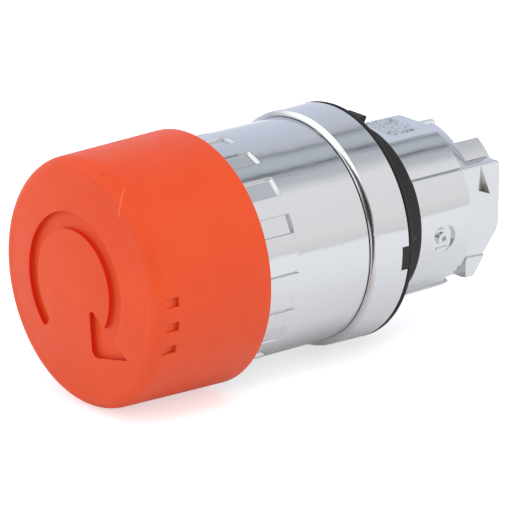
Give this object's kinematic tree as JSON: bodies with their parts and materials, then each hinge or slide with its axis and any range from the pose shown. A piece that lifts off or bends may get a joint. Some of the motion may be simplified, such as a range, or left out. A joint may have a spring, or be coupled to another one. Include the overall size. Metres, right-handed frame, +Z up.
{
  "type": "emergency stop button head",
  "caption": "Panel-mounted emergency stop head: red mushroom cap that latches when pushed and releases when turned, on a chromed barrel with a sealing gasket.",
  "frame": {"origin": "centre of the panel hole, on the plane of the panel's front face, where the gasket's rear face seats", "axes": "+Y along the button's axis into the panel, so the mushroom faces -Y; +Z up towards the 12 o'clock key; +X to the right seen from the front"},
  "size_m": [0.03, 0.0577, 0.03],
  "materials": {
    "cap": "orange-red satin moulded plastic",
    "hub": "black moulded plastic",
    "steel": "turned steel",
    "spring_steel": "drawn spring wire and blued strip",
    "brass": "turned brass",
    "pale_plastic": "natural moulded acetal",
    "chrome": "bright chromium plate on a zinc die casting",
    "rubber": "black nitrile rubber"
  },
  "bodies": {
    "body": {"housing": "chrome", "front_sleeve": "chrome", "panel_gasket": "rubber", "sleeve_o_ring": "rubber", "lip_seal": "rubber", "seal_washer": "steel", "latch_ring": "steel", "guide_bush": "pale_plastic", "spring_washer": "steel", "return_spring": "spring_steel"},
    "plunger": {"stem": "steel", "stem_clip": "spring_steel", "latch_carrier": "brass", "carrier_pin": "steel", "pusher": "pale_plastic", "pusher_clip": "spring_steel", "trip_spring": "spring_steel"},
    "cap": {"mushroom_cap": "cap", "cap_hub": "hub", "torsion_spring": "spring_steel"},
    "latch_1": {"latch_pin_1": "steel"},
    "latch_2": {"latch_pin_2": "steel"},
    "latch_3": {"latch_pin_3": "steel"},
    "latch_4": {"latch_pin_4": "steel"}
  },
  "joints": [
    {"name": "push", "type": "slide", "parent": "body", "child": "plunger", "axis": [0, 1, 0], "range_m": [0, 0.0045], "stiffness_N_per_m": 1500, "springref_m": -0.002, "deforming": ["return_spring"]},
    {"name": "turn_to_release", "type": "hinge", "parent": "plunger", "child": "cap", "pos_m": [0, 0, 0], "axis": [0, 1, 0], "range_deg": [0, 35], "stiffness_Nm_per_rad": 0.05, "deforming": ["torsion_spring"]},
    {"name": "latch_1_out", "type": "slide", "parent": "plunger", "child": "latch_1", "axis": [0.7071, 0, 0.7071], "range_m": [0, 0.0009]},
    {"name": "latch_2_out", "type": "slide", "parent": "plunger", "child": "latch_2", "axis": [0.7071, 0, -0.7071], "range_m": [0, 0.0009]},
    {"name": "latch_3_out", "type": "slide", "parent": "plunger", "child": "latch_3", "axis": [-0.7071, 0, -0.7071], "range_m": [0, 0.0009]},
    {"name": "latch_4_out", "type": "slide", "parent": "plunger", "child": "latch_4", "axis": [-0.7071, 0, 0.7071], "range_m": [0, 0.0009]}
  ],
  "couplings": [
    {"joint": "latch_1_out", "follows": "push", "ratio": 0.2},
    {"joint": "latch_2_out", "follows": "push", "ratio": 0.2},
    {"joint": "latch_3_out", "follows": "push", "ratio": 0.2},
    {"joint": "latch_4_out", "follows": "push", "ratio": 0.2}
  ]
}
